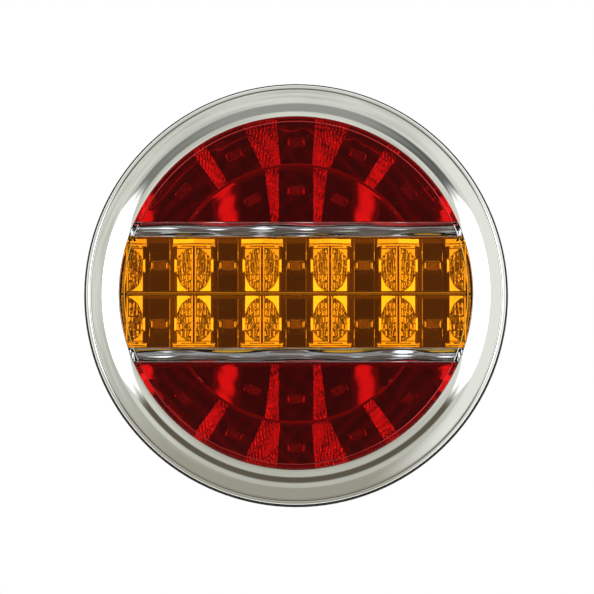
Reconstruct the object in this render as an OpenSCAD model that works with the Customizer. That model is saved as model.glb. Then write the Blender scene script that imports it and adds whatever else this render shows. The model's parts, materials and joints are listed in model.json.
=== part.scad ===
// Round LED rear combination lamp for trailers: red, amber and red segments
// under one lens, in a chromed bezel, on a stud-mounted rear housing.
// Every sub-part is drawn looking into the lens, with x to the right, y up and
// z forward from the mounting plane. upright() then turns it, so that the lens
// faces -Y and +Z is up. The origin is the centre of the mounting plane.

/* [Lamp] */
// Outside diameter of the lamp
lamp_d = 140; // [139:0.5:146]
// Depth from the mounting plane to the front of the lens
lamp_depth = 34; // [33:0.5:38]

/* [Bezel] */
// Radial width of the chromed ring
bezel_w = 11.3; // [10.8:0.1:11.8]
// Wall of the chromed ring
bezel_t = 1.6; // [1.2:0.1:2]
// How far the housing flange stands out past the ring
rim_w = 0.9; // [0.5:0.1:1]

/* [Lens] */
// Thickness of the front of the lens
lens_t = 2.5; // [2:0.1:3]
// Thickness of the side wall of the lens
lens_wall = 1.4; // [1.2:0.1:2]
// Rounding of the lens edge
lens_edge = 0.5; // [0.3:0.1:1]
// Half height of the amber band
amber_half = 18.2; // [17.8:0.1:18.6]
// Height of each clear bar
bar_h = 4.6; // [4.2:0.1:5]

/* [Light cells] */
// Distance between amber columns
amber_pitch = 22.5; // [22:0.1:23]
// Distance of each amber row from the middle
amber_row = 9.7; // [9:0.1:10.5]
// Width of the flat floor of an amber cell
cell_floor = 10.7; // [9:0.1:12]
// Radius of the outer arc of red LEDs
outer_arc = 50.6; // [49:0.1:51]
// Angle between LEDs on the outer arc
outer_step = 23.7; // [22:0.1:24]
// Radius of the inner arc of red LEDs
inner_arc = 34.5; // [33:0.1:36]
// Angle between LEDs on the inner arc
inner_step = 24.5; // [23:0.1:26]
// Radius of the curved rib between the two arcs
arc_rib = 42.4; // [41:0.1:44]
// Depth of the reflector cells
cell_depth = 11; // [9:0.5:12]

/* [LEDs] */
// Length of an LED package
led_l = 3.5; // [3:0.1:4]
// Width of an LED package
led_w = 2.8; // [2:0.1:3]
// Height of an LED package
led_h = 1.9; // [1:0.1:2]
// Length of the window round an LED
window_l = 6.4; // [5:0.1:7]
// Width of the window round an LED
window_w = 3.6; // [3.4:0.1:4]

/* [Mounting] */
// Diameter of each mounting stud
stud_d = 5; // [5:1:6]
// Distance between the two studs
stud_gap = 45; // [40:1:50]
// How far the studs stand out behind the mounting plane
stud_out = 20; // [16:1:30]
// Thickness of the panel that the studs are made to clamp
panel_t = 3; // [1:0.5:5]
// Thickness of the rear gasket
gasket_t = 2; // [1.5:0.5:2]
// Diameter of the cable hole in the grommet
cable_d = 7; // [5:0.5:8]

/* [Hidden] */
$fn = 128;

// Small overlap that makes a cut pass right through a face
cut = 0.01;

lamp_r = lamp_d / 2;
bezel_r = lamp_r - rim_w;
bezel_in = bezel_r - bezel_w;
lens_r = bezel_in - 0.3;
bar_top = amber_half + bar_h;

// Heights above the mounting plane, from the back to the front
boss_z = 0.5;
wall_z = 4;
floor_z = 6.5;
board_z = 15;
board_t = 1.6;
led_z = board_z + board_t;
flange_z = 18;
flange_t = 3;
rim_z = 21;
seal_t = 0.5;
lens_flange_z = rim_z + seal_t;
lens_flange_t = 2;
crown_z = lamp_depth - 6;
cell_top = led_z + 1 + cell_depth;

// Radii of the housing and of what it holds
house_r = lamp_r - 5.5;
house_t = 2.5;
house_in = house_r - house_t;
board_r = house_in - 2.5;
cell_r = lens_r - lens_wall - 0.3;
seat_out = house_r - 3;
seat_in = seat_out - 10;

sheet_t = 1;
rib_t = 0.8;
rib_z = cell_top - 2;
bar_z = lamp_depth - lens_t - 0.7;
ridge_half = 3;
outer_angles = [for (i = [-2:2]) i * outer_step];
inner_angles = [for (i = [-1:1]) i * inner_step];
ridge_angles = [for (i = [-1.5, -0.5, 0.5, 1.5]) i * outer_step];

stud_r = stud_d / 2;
thread_r = stud_r - 0.2;
neck_r = stud_r + 0.5;
head_r = stud_r * 2.3;
head_h = 4;
boss_r = head_r + 2.6;
washer_t = 1;
spring_t = 1.3;
nut_h = 4;
nut_af = 8 * stud_d / 5;

grommet_r = cable_d / 2 + 3.5;
grommet_tail = 6;
vent_y = -36;
vent_r = 5;
screw_x = 50;
screw_y = amber_half + bar_h / 2;
screw_r = 1.5;

// Turns a shape from the drawing position to the way the lamp is worn
module upright() {
    rotate([90, 0, 0]) children();
}

module ring(outer, inner, height) {
    difference() {
        cylinder(r = outer, h = height);
        translate([0, 0, -cut]) cylinder(r = inner, h = height + 2 * cut);
    }
}

// A box centred on x and y that stands on z = 0
module block(size) {
    translate([-size[0] / 2, -size[1] / 2, 0]) cube(size);
}

module at_studs(z) {
    for (side = [-1, 1])
        translate([side * stud_gap / 2, 0, z]) children();
}

module at_screws(z) {
    for (sx = [-1, 1], sy = [-1, 1])
        translate([sx * screw_x, sy * screw_y, z]) children();
}

// Places a shape at each red LED of the upper half
module at_red_leds(z) {
    for (a = outer_angles)
        rotate([0, 0, -a]) translate([0, outer_arc, z]) children();
    for (a = inner_angles)
        rotate([0, 0, -a]) translate([0, inner_arc, z]) children();
}

module at_amber_leds(z) {
    for (col = [-2:2], row = [-1, 1])
        translate([col * amber_pitch, row * amber_row, z]) children();
}

// ---- Rear housing and what fastens the lamp ----

module housing_shell() {
    rotate_extrude() polygon([
        [0, wall_z], [seat_in, wall_z], [seat_in, gasket_t], [seat_out, gasket_t],
        [seat_out, wall_z], [house_r - 1, wall_z], [house_r, wall_z + 1],
        [house_r, flange_z - flange_t], [lamp_r - 1, flange_z - flange_t],
        [lamp_r, flange_z - flange_t + 1], [lamp_r, flange_z], [house_r, flange_z],
        [house_r, rim_z], [house_in, rim_z], [house_in, floor_z], [0, floor_z]
    ]);
}

module back_ribs() {
    for (a = [22.5:45:359])
        rotate([0, 0, a]) translate([16, -0.8, gasket_t + 0.2])
            cube([seat_in - 15, 1.6, wall_z - gasket_t]);
}

// Head and neck of a stud, which the housing is moulded round
module stud_body() {
    cylinder(r = head_r, h = head_h, $fn = 6);
    translate([0, 0, -2]) cylinder(r = neck_r, h = 2 + cut);
}

// Moulded cup with bosses for the studs, posts for the board and two drain slots
module rear_housing() {
    color([0.09, 0.09, 0.1]) upright() difference() {
        union() {
            housing_shell();
            back_ribs();
            at_studs(boss_z) cylinder(r = boss_r, h = 8.5);
            at_screws(floor_z - cut) cylinder(r = 3.6, h = board_z - floor_z + cut);
            translate([0, 0, gasket_t + 0.4]) cylinder(r = grommet_r + 5, h = wall_z - gasket_t);
        }
        at_studs(boss_z + 2) stud_body();
        cylinder(r = grommet_r, h = floor_z + 1);
        translate([0, 0, gasket_t]) cylinder(r = grommet_r + 2.6, h = 1.9);
        translate([0, vent_y, 0]) cylinder(r = 3, h = floor_z + 1);
        at_screws(board_z - 6) cylinder(r = screw_r, h = 6 + cut);
        for (a = [-22, 22])
            rotate([0, 0, a]) translate([0, -(seat_in + seat_out) / 2, gasket_t - cut])
                block([7, seat_out - seat_in + 2, 1.2]);
    }
}

module mounting_gasket() {
    color([0.13, 0.13, 0.13]) upright() ring(seat_out - 0.5, seat_in + 0.5, gasket_t);
}

module mounting_studs() {
    color("silver") upright() at_studs(0) {
        translate([0, 0, boss_z + 2]) stud_body();
        translate([0, 0, -panel_t]) cylinder(r = stud_r, h = panel_t + boss_z);
        translate([0, 0, 0.6 - stud_out]) cylinder(r = thread_r, h = stud_out - 0.6 - panel_t);
        translate([0, 0, -stud_out]) cylinder(r1 = thread_r - 0.6, r2 = thread_r, h = 0.6);
    }
}

module flat_washers() {
    color("silver") upright() at_studs(-panel_t - washer_t)
        ring(2 * stud_r, stud_r + 0.15, washer_t);
}

// Split rings that lock the nuts
module spring_washers() {
    color("gray") upright() at_studs(-panel_t - washer_t - spring_t) difference() {
        ring(1.64 * stud_r, stud_r + 0.1, spring_t);
        rotate([0, 0, 60]) translate([0, -0.4, -cut]) cube([2 * stud_r, 0.8, spring_t + 2 * cut]);
    }
}

module stud_nuts() {
    color("silver") upright() at_studs(-panel_t - washer_t - spring_t - nut_h) difference() {
        intersection() {
            cylinder(r = nut_af / sqrt(3), h = nut_h, $fn = 6);
            cylinder(r1 = nut_af / sqrt(3) - 0.6, r2 = nut_af / sqrt(3) + nut_h, h = nut_h);
        }
        translate([0, 0, -cut]) cylinder(r = thread_r, h = nut_h + 2 * cut);
    }
}

// Rubber gland that the cable comes out of
module cable_grommet() {
    tail_r = cable_d / 2 + 1.6;
    color([0.05, 0.05, 0.05]) upright() difference() {
        rotate_extrude() polygon([
            [0, -grommet_tail], [tail_r, -grommet_tail], [grommet_r - 0.5, gasket_t + 0.4],
            [grommet_r + 2.4, gasket_t + 0.4], [grommet_r + 2.4, wall_z - 0.1],
            [grommet_r, wall_z - 0.1], [grommet_r, floor_z], [grommet_r + 2, floor_z],
            [grommet_r + 1, floor_z + 1.5], [0, floor_z + 1.5]
        ]);
        translate([0, 0, -grommet_tail - 1])
            cylinder(r = cable_d / 2, h = grommet_tail + floor_z + 4);
    }
}

module breather_vent() {
    color([0.25, 0.25, 0.27]) upright() translate([0, vent_y, 0]) difference() {
        union() {
            translate([0, 0, 1.4]) cylinder(r = vent_r, h = wall_z - 1.4);
            translate([0, 0, wall_z]) cylinder(r = 3, h = floor_z - wall_z + 1);
        }
        translate([0, 0, 2.4]) cylinder(r = 2, h = floor_z);
        for (a = [0, 90])
            rotate([0, 0, a]) translate([0, 0, 2.4]) block([2 * vent_r + 1, 1.4, 1]);
    }
}

module vent_membrane() {
    color("white") upright() translate([0, vent_y, wall_z]) cylinder(r = 2, h = 0.4);
}

// ---- Bezel and lens ----

// Quarter ellipse of the ring's section, drawn inset by t
function bezel_arc(t) = [
    for (i = [0:15])
        let (a = i * 6)
        [
            bezel_in + (bezel_w - t) * sin(a),
            flange_z + (crown_z - flange_z - t) * cos(a)
        ]
];

function backwards(list) = [for (i = [len(list) - 1:-1:0]) list[i]];

// Curved shell with a lip that reaches back along the wall of the lens
module chrome_bezel() {
    lip_out = bezel_in + 1.2;
    inside = [for (p = bezel_arc(bezel_t)) if (p[0] > lip_out) p];
    color([0.85, 0.86, 0.86]) upright() rotate_extrude() polygon(concat(
        bezel_arc(0),
        backwards(inside),
        [[lip_out, crown_z - 4], [bezel_in, crown_z - 4]]
    ));
}

module lens_seal() {
    color([0.1, 0.1, 0.1]) upright() translate([0, 0, rim_z])
        ring(house_r - 0.2, house_in + 0.2, seal_t);
}

function edge_arc(r, z, e) = [for (a = [0:10:90]) [r - e + e * sin(a), z - e + e * cos(a)]];

module lens_shell() {
    rotate_extrude() polygon(concat(
        [[0, lamp_depth]],
        edge_arc(lens_r, lamp_depth, lens_edge),
        [
            [lens_r, lens_flange_z + lens_flange_t], [house_r - 0.2, lens_flange_z + lens_flange_t],
            [house_r - 0.2, lens_flange_z], [lens_r - lens_wall, lens_flange_z]
        ],
        [[lens_r - lens_wall, lamp_depth - lens_t], [0, lamp_depth - lens_t]]
    ));
}

// The stretch of the lens between two heights
module lens_slice(low, high) {
    intersection() {
        lens_shell();
        translate([-lamp_r, low, 0]) cube([lamp_d, high - low, lamp_depth + 1]);
    }
}

module upper_red_lens() {
    color([0.75, 0.02, 0.03, 0.6]) upright() lens_slice(bar_top, lamp_r);
}

module lower_red_lens() {
    color([0.75, 0.02, 0.03, 0.6]) upright() lens_slice(-lamp_r, -bar_top);
}

module amber_lens() {
    color([1, 0.55, 0.05, 0.6]) upright() lens_slice(-amber_half, amber_half);
}

module upper_clear_bar() {
    color([0.85, 0.87, 0.9, 0.6]) upright() lens_slice(amber_half, bar_top);
}

module lower_clear_bar() {
    color([0.85, 0.87, 0.9, 0.6]) upright() lens_slice(-bar_top, -amber_half);
}

// ---- Reflectors ----

module led_window() {
    block([window_l, window_w, led_h + 2]);
}

// Upper edge of the amber trough section: flat floors between pointed ridges
function trough_edge(z) = [
    for (col = [-2:2], p = [[-amber_pitch / 2, cell_depth], [-cell_floor / 2, 0], [cell_floor / 2, 0]])
        [col * amber_pitch + p[0], z + p[1]]
];

module amber_troughs() {
    last = [2.5 * amber_pitch, cell_depth];
    top = concat(trough_edge(led_z + sheet_t), [[last[0], last[1] + led_z + sheet_t]]);
    under = concat(trough_edge(led_z), [[last[0], last[1] + led_z]]);
    translate([0, amber_half - 0.5, 0]) rotate([90, 0, 0])
        linear_extrude(height = 2 * amber_half - 1) polygon(concat(top, backwards(under)));
}

module amber_reflector() {
    color([0.8, 0.8, 0.78]) upright() intersection() {
        difference() {
            union() {
                amber_troughs();
                translate([0, 0, led_z]) block([2 * lens_r, 2 * rib_t, rib_z - led_z]);
                for (side = [-1, 1]) {
                    translate([0, side * (amber_half - 0.6), led_z])
                        block([2 * lens_r, rib_t, bar_z - led_z]);
                    translate([0, side * (amber_half + bar_h / 2 - 0.6), bar_z - sheet_t])
                        block([2 * lens_r, bar_h + 0.6, sheet_t]);
                }
            }
            at_amber_leds(led_z - cut) led_window();
        }
        cylinder(r = cell_r, h = lamp_depth);
    }
}

// Pointed ridge along a radius, between two red cells
module red_ridge() {
    translate([0, cell_r, 0]) rotate([90, 0, 0]) linear_extrude(height = cell_r - 24)
        polygon([[-ridge_half, led_z + sheet_t / 2], [ridge_half, led_z + sheet_t / 2], [0, rib_z]]);
}

module red_reflector() {
    intersection() {
        difference() {
            union() {
                translate([0, 0, led_z]) cylinder(r = cell_r, h = sheet_t);
                translate([0, 0, led_z]) ring(cell_r, cell_r - rib_t, cell_top - led_z);
                translate([0, 0, led_z]) ring(arc_rib + rib_t / 2, arc_rib - rib_t / 2, rib_z - led_z);
                translate([0, bar_top + 0.6, led_z]) block([2 * lens_r, rib_t, cell_top - led_z]);
                for (a = ridge_angles)
                    rotate([0, 0, -a]) red_ridge();
            }
            at_red_leds(led_z - cut) led_window();
        }
        translate([-lamp_r, bar_top + 0.2, 0]) cube([lamp_d, lamp_r, lamp_depth]);
        cylinder(r = cell_r, h = lamp_depth);
    }
}

module upper_reflector() {
    color([0.8, 0.8, 0.78]) upright() red_reflector();
}

module lower_reflector() {
    color([0.8, 0.8, 0.78]) upright() mirror([0, 1, 0]) red_reflector();
}

// ---- LED board ----

module led_board() {
    color([0.85, 0.87, 0.84]) upright() difference() {
        translate([0, 0, board_z]) cylinder(r = board_r, h = board_t);
        at_screws(board_z - cut) cylinder(r = screw_r + 0.2, h = board_t + 2 * cut);
    }
}

module potting_bead() {
    color([0.16, 0.16, 0.18]) upright() translate([0, 0, board_z])
        ring(house_in, board_r, board_t - 0.4);
}

module board_screws() {
    color("silver") upright() at_screws(board_z - 6) difference() {
        union() {
            cylinder(r = screw_r, h = 6 + board_t + cut);
            translate([0, 0, 6 + board_t]) cylinder(r1 = 2.2, r2 = 1.8, h = 1.6);
        }
        for (a = [0, 90])
            rotate([0, 0, a]) translate([0, 0, 6 + board_t + 0.8]) block([2.4, 0.5, 1]);
    }
}

// Packaged LED with a round cup in its face
module led() {
    difference() {
        block([led_l, led_w, led_h]);
        translate([0, 0, led_h - 0.5]) cylinder(r = 0.42 * led_w, h = 1, $fn = 48);
    }
}

module upper_red_leds() {
    color([0.9, 0.85, 0.8]) upright() at_red_leds(led_z) led();
}

module lower_red_leds() {
    color([0.9, 0.85, 0.8]) upright() mirror([0, 1, 0]) at_red_leds(led_z) led();
}

module amber_leds() {
    color([0.95, 0.8, 0.4]) upright() at_amber_leds(led_z) led();
}

// Lays a shape against the back of the board
module under_board(x, y, height) {
    translate([x, y, board_z - height]) children();
}

module driver_chips() {
    body_h = 1.7;
    color([0.07, 0.07, 0.07]) upright() for (x = [-34, 34]) under_board(x, 22, body_h) {
        block([5, 6, body_h]);
        for (side = [-1, 1], i = [-1.5:1.5])
            translate([side * 2.9, i * 1.27, body_h - 0.5]) block([1.2, 0.4, 0.5]);
    }
}

module chip_resistors() {
    color([0.15, 0.15, 0.16]) upright() for (col = [-3:3], side = [-1, 1])
        under_board(col * 6.5, side * 40, 0.6) block([3.2, 1.6, 0.6]);
}

module rectifier_diodes() {
    color([0.1, 0.1, 0.1]) upright() for (x = [-10, 0, 10])
        under_board(x, 27, 2.3) block([4.5, 2.6, 2.3]);
}

module smoothing_capacitor() {
    color("silver") upright() under_board(-26, -26, 6.2) {
        cylinder(r = 3.15, h = 5.4);
        translate([0, 0, 5.4]) block([6.6, 6.6, 0.8]);
    }
}

module suppressor_diode() {
    color([0.12, 0.12, 0.12]) upright() under_board(26, -26, 2.4) block([5.4, 3.9, 2.4]);
}

// Block that the cable's wires are soldered to
module wire_header() {
    color("ivory") upright() under_board(0, -16, 5.5) difference() {
        block([22, 6, 5.5]);
        for (i = [-2:2])
            translate([i * 4, 0, -cut]) cylinder(r = 1, h = 4, $fn = 32);
    }
}

rear_housing();
mounting_gasket();
mounting_studs();
flat_washers();
spring_washers();
stud_nuts();
cable_grommet();
breather_vent();
vent_membrane();
chrome_bezel();
lens_seal();
upper_red_lens();
upper_clear_bar();
amber_lens();
lower_clear_bar();
lower_red_lens();
upper_reflector();
amber_reflector();
lower_reflector();
led_board();
potting_bead();
board_screws();
upper_red_leds();
amber_leds();
lower_red_leds();
driver_chips();
chip_resistors();
rectifier_diodes();
smoothing_capacitor();
suppressor_diode();
wire_header();
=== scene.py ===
"""Looks for the round LED rear lamp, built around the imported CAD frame.

Shapes are worked out looking into the lens: x to the right, y up and z forward from the
mounting plane, in millimetres. at() turns such a point into the row frame, in metres.
"""
import json
import math

import bmesh
import bpy
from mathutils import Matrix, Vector
from mathutils.geometry import tessellate_polygon


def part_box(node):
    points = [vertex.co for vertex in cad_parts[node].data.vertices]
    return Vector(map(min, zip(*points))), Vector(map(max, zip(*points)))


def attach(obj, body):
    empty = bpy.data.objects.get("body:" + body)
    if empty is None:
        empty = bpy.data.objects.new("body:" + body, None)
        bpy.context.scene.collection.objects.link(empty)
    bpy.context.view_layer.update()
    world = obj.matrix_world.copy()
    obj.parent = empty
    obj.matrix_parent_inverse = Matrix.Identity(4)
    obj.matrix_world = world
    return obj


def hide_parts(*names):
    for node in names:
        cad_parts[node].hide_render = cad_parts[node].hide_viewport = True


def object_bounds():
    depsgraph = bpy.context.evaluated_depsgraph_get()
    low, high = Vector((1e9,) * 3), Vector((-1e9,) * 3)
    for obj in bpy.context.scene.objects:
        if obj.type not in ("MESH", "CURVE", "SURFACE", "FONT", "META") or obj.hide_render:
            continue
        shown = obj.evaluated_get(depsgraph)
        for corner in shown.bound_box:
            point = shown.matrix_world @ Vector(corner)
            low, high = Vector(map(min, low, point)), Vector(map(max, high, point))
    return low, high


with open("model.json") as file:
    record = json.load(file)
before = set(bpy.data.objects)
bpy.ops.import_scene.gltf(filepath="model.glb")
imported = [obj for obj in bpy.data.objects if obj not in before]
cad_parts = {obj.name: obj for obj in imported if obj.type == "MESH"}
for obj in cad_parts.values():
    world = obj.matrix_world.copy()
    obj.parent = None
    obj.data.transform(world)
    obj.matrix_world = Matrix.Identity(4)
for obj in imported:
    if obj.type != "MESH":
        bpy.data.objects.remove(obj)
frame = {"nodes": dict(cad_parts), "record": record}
cad_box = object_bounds()

MM = 0.001
ROOT = "root"


def at(x, y, z):
    """A point given looking into the lens, in the row frame."""
    return Vector((x, -z, y)) * MM


# ---- Sizes in mm, from the frame where the CAD has them ----

def depth_range(node):
    """Lowest and highest z of a CAD node, in mm from the mounting plane."""
    low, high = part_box(node)
    return -high.y / MM, -low.y / MM


# Bezel: outer radius, opening, and the places where its face changes slope
BEZEL_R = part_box("chrome_bezel")[1].x / MM
BEZEL_BACK, CROWN = depth_range("chrome_bezel")
BEZEL_IN = BEZEL_R - 11.3
BEZEL_DIP = BEZEL_IN + 3.4
BEZEL_SHOULDER = BEZEL_IN + 5.8
BEZEL_FACE_END = BEZEL_R - 1.75

# Lens, and the heights at which its segments meet
LENS_FRONT = depth_range("amber_lens")[1]
FLANGE_BACK = depth_range("amber_lens")[0]
FLANGE_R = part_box("amber_lens")[1].x / MM
FLANGE = 2.0
AMBER_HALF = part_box("amber_lens")[1].z / MM
BAR_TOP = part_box("upper_clear_bar")[1].z / MM
LENS_R = BEZEL_IN - 0.15
LENS_WALL = 1.4
LENS_PLATE = 2.5
LENS_BACK = LENS_FRONT - LENS_PLATE
LENS_EDGE = 0.25
LENS_STEPS = 256

# Reflectors: FLOOR is their dark floor, CELL_EDGE its end under the side wall of the lens
BOARD_TOP = depth_range("led_board")[1]
CELL_TOP = depth_range("upper_reflector")[1]
CELL_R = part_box("amber_reflector")[1].x / MM
FLOOR = BOARD_TOP + 1.0
CELL_EDGE = LENS_R + 1.2
RED_CHORD = BAR_TOP + 0.7
BAR_Z = LENS_BACK - 0.7
RIM = 1.3
INNER_START = 23.0
ARC_RIB = 42.4

# Amber cells: a dark floor round each LED, and raised blocks between the columns of LEDs,
# with a ridge along the middle of each block and bright bands at the outer end of the floor
AMBER_PITCH = 22.5
AMBER_ROW = 9.7
HALF_PITCH = AMBER_PITCH / 2
CELL_FLOOR = 5.35
BLOCK = HALF_PITCH - CELL_FLOOR
BLOCK_END = 5.4
RIDGE, RIDGE_FOOT = 0.35, 0.8
BAND, BAND_STEP, BAND_IN = 6.3, 7.2, 4.3
GROOVE = (3.15, 3.4)
BOWL_IN, BOWL_OUT = 8.7, 5.6
FLUTE = 1.4
LOUVRE = 2.3

# LEDs: window frame, hole in the reflector, and the arcs on which the red ones stand
LED_TOP = depth_range("amber_leds")[1]
WINDOW = (2.8, 1.6)
WINDOW_CORNER = 0.8
LED_HOLE = (1.85, 1.5)
LED_POINTS = 32
OUTER_ARC, OUTER_STEP = 50.6, 23.7
INNER_ARC, INNER_STEP = 34.5, 24.5

# Studs and their thread
STUD_END, STUD_HEAD = depth_range("mounting_studs")
STUD_X = 22.5
SHANK_END = -3.0
THREAD_PITCH = 0.8
THREAD_ROOT, THREAD_DEPTH = 2.02, 0.43

CAMERA_ANGLE = 3.4


# ---- Node helpers ----

class Nodes:
    """Short ways to add shader nodes to a tree."""

    def __init__(self, tree):
        self.tree = tree
        self.tree.nodes.clear()

    def add(self, kind, **settings):
        node = self.tree.nodes.new("ShaderNode" + kind)
        for key, value in settings.items():
            setattr(node, key, value)
        return node

    def put(self, socket, value):
        if isinstance(value, bpy.types.NodeSocket):
            self.tree.links.new(value, socket)
        else:
            socket.default_value = value

    def math(self, operation, a, b=0.0):
        node = self.add("Math", operation=operation)
        self.put(node.inputs[0], a)
        self.put(node.inputs[1], b)
        return node.outputs[0]

    def ramp(self, value, low, high, to_low=0.0, to_high=1.0):
        """A smooth step from to_low to to_high as the value goes from low to high."""
        node = self.add("MapRange", interpolation_type="SMOOTHSTEP")
        self.put(node.inputs["Value"], value)
        node.inputs["From Min"].default_value = low
        node.inputs["From Max"].default_value = high
        node.inputs["To Min"].default_value = to_low
        node.inputs["To Max"].default_value = to_high
        return node.outputs["Result"]

    def mix(self, factor, a, b):
        node = self.add("Mix", data_type="RGBA")
        self.put(node.inputs["Factor"], factor)
        colours = [s for s in node.inputs if s.type == "RGBA"]
        self.put(colours[0], rgba(a))
        self.put(colours[1], rgba(b))
        return [s for s in node.outputs if s.type == "RGBA"][0]

    def noise(self, scale, detail=3.0, stretch=None, coords=None):
        """Noise over the object's own coordinates, in metres, unless others are given."""
        if coords is None:
            coords = self.add("TexCoord").outputs["Object"]
        if stretch:
            mapping = self.add("Mapping")
            self.put(mapping.inputs["Vector"], coords)
            mapping.inputs["Scale"].default_value = stretch
            coords = mapping.outputs["Vector"]
        node = self.add("TexNoise")
        self.put(node.inputs["Vector"], coords)
        node.inputs["Scale"].default_value = scale
        node.inputs["Detail"].default_value = detail
        return node.outputs["Fac"]

    def bump(self, height, strength, distance):
        node = self.add("Bump")
        self.put(node.inputs["Height"], height)
        node.inputs["Strength"].default_value = strength
        node.inputs["Distance"].default_value = distance
        return node.outputs["Normal"]

    def shader(self, **values):
        node = self.add("BsdfPrincipled")
        for name, value in values.items():
            self.put(node.inputs[name.replace("_", " ")], value)
        return node

    def finish(self, surface):
        self.put(self.add("OutputMaterial").inputs["Surface"], surface)


def rgba(colour):
    """A colour of three numbers as four, and anything else as it is."""
    if isinstance(colour, (tuple, list)) and len(colour) == 3:
        return (*colour, 1.0)
    return colour


def new_material(name):
    material = bpy.data.materials.new(name)
    material.use_nodes = True
    return material, Nodes(material.node_tree)


# ---- Materials ----

def plastic(name, dark, light, roughness, grain=900.0, bump=0.15):
    """Moulded plastic: faint colour drift and a fine moulded grain."""
    material, n = new_material(name)
    drift = n.ramp(n.noise(60.0), 0.35, 0.65)
    gloss = n.ramp(n.noise(180.0, 4.0), 0.3, 0.7, roughness - 0.06, roughness + 0.08)
    normal = n.bump(n.noise(grain, 2.0), bump, 0.0001)
    shader = n.shader(Base_Color=n.mix(drift, dark, light), Roughness=gloss, Normal=normal)
    n.finish(shader.outputs[0])
    return material


def rubber(name, dark, light, pores=0.0):
    """Dull rubber, with open pores where it is foam."""
    material, n = new_material(name)
    drift = n.ramp(n.noise(120.0), 0.3, 0.7)
    normal = n.bump(n.noise(1500.0, 4.0), 0.25 + pores, 0.0002)
    shader = n.shader(Base_Color=n.mix(drift, dark, light), Roughness=0.82, Normal=normal)
    n.finish(shader.outputs[0])
    return material


def steel(name, dark, light, roughness):
    """Zinc-plated steel: cloudy plating with fine scratches."""
    material, n = new_material(name)
    cloud = n.ramp(n.noise(250.0, 5.0), 0.3, 0.7)
    scratches = n.noise(900.0, 3.0, stretch=(1.0, 12.0, 1.0))
    gloss = n.ramp(scratches, 0.3, 0.7, roughness - 0.06, roughness + 0.1)
    normal = n.bump(n.noise(2200.0, 2.0), 0.08, 0.0001)
    tint = n.mix(cloud, dark, light)
    shader = n.shader(Base_Color=tint, Metallic=1.0, Roughness=gloss, Normal=normal)
    n.finish(shader.outputs[0])
    return material


def chrome():
    """Bright chrome plate on plastic, with a slight haze and orange peel."""
    material, n = new_material("bezel_chrome")
    haze = n.ramp(n.noise(35.0, 4.0), 0.35, 0.75, 0.03, 0.075)
    normal = n.bump(n.noise(160.0, 2.0), 0.02, 0.0002)
    tint = n.mix(n.noise(20.0), (0.80, 0.81, 0.79), (0.86, 0.87, 0.84))
    shader = n.shader(Base_Color=tint, Metallic=1.0, Roughness=haze, Normal=normal)
    n.finish(shader.outputs[0])
    return material


def metallised():
    """Vacuum-metallised reflector."""
    material, n = new_material("reflector_metal")
    haze = n.ramp(n.noise(90.0, 4.0), 0.35, 0.75, 0.03, 0.07)
    tint = n.mix(n.noise(40.0), (0.80, 0.80, 0.79), (0.88, 0.88, 0.87))
    normal = n.bump(n.noise(420.0, 3.0), 0.05, 0.0002)
    shader = n.shader(Base_Color=tint, Metallic=1.0, Roughness=haze, Normal=normal)
    n.finish(shader.outputs[0])
    return material


def tinted_lens(name, deep, pale):
    """Clear tinted moulding: light passes through it to what lies behind."""
    material, n = new_material(name)
    tint = n.mix(n.ramp(n.noise(25.0, 2.0), 0.3, 0.7), deep, pale)
    glass = n.shader(Base_Color=tint, Roughness=0.015, IOR=1.49)
    glass.inputs["Transmission Weight"].default_value = 1.0
    clear = n.add("BsdfTransparent")
    n.put(clear.inputs["Color"], tint)
    swap = n.add("MixShader")
    n.put(swap.inputs[0], n.add("LightPath").outputs["Is Shadow Ray"])
    n.put(swap.inputs[1], glass.outputs[0])
    n.put(swap.inputs[2], clear.outputs[0])
    n.finish(swap.outputs[0])
    return material


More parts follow.
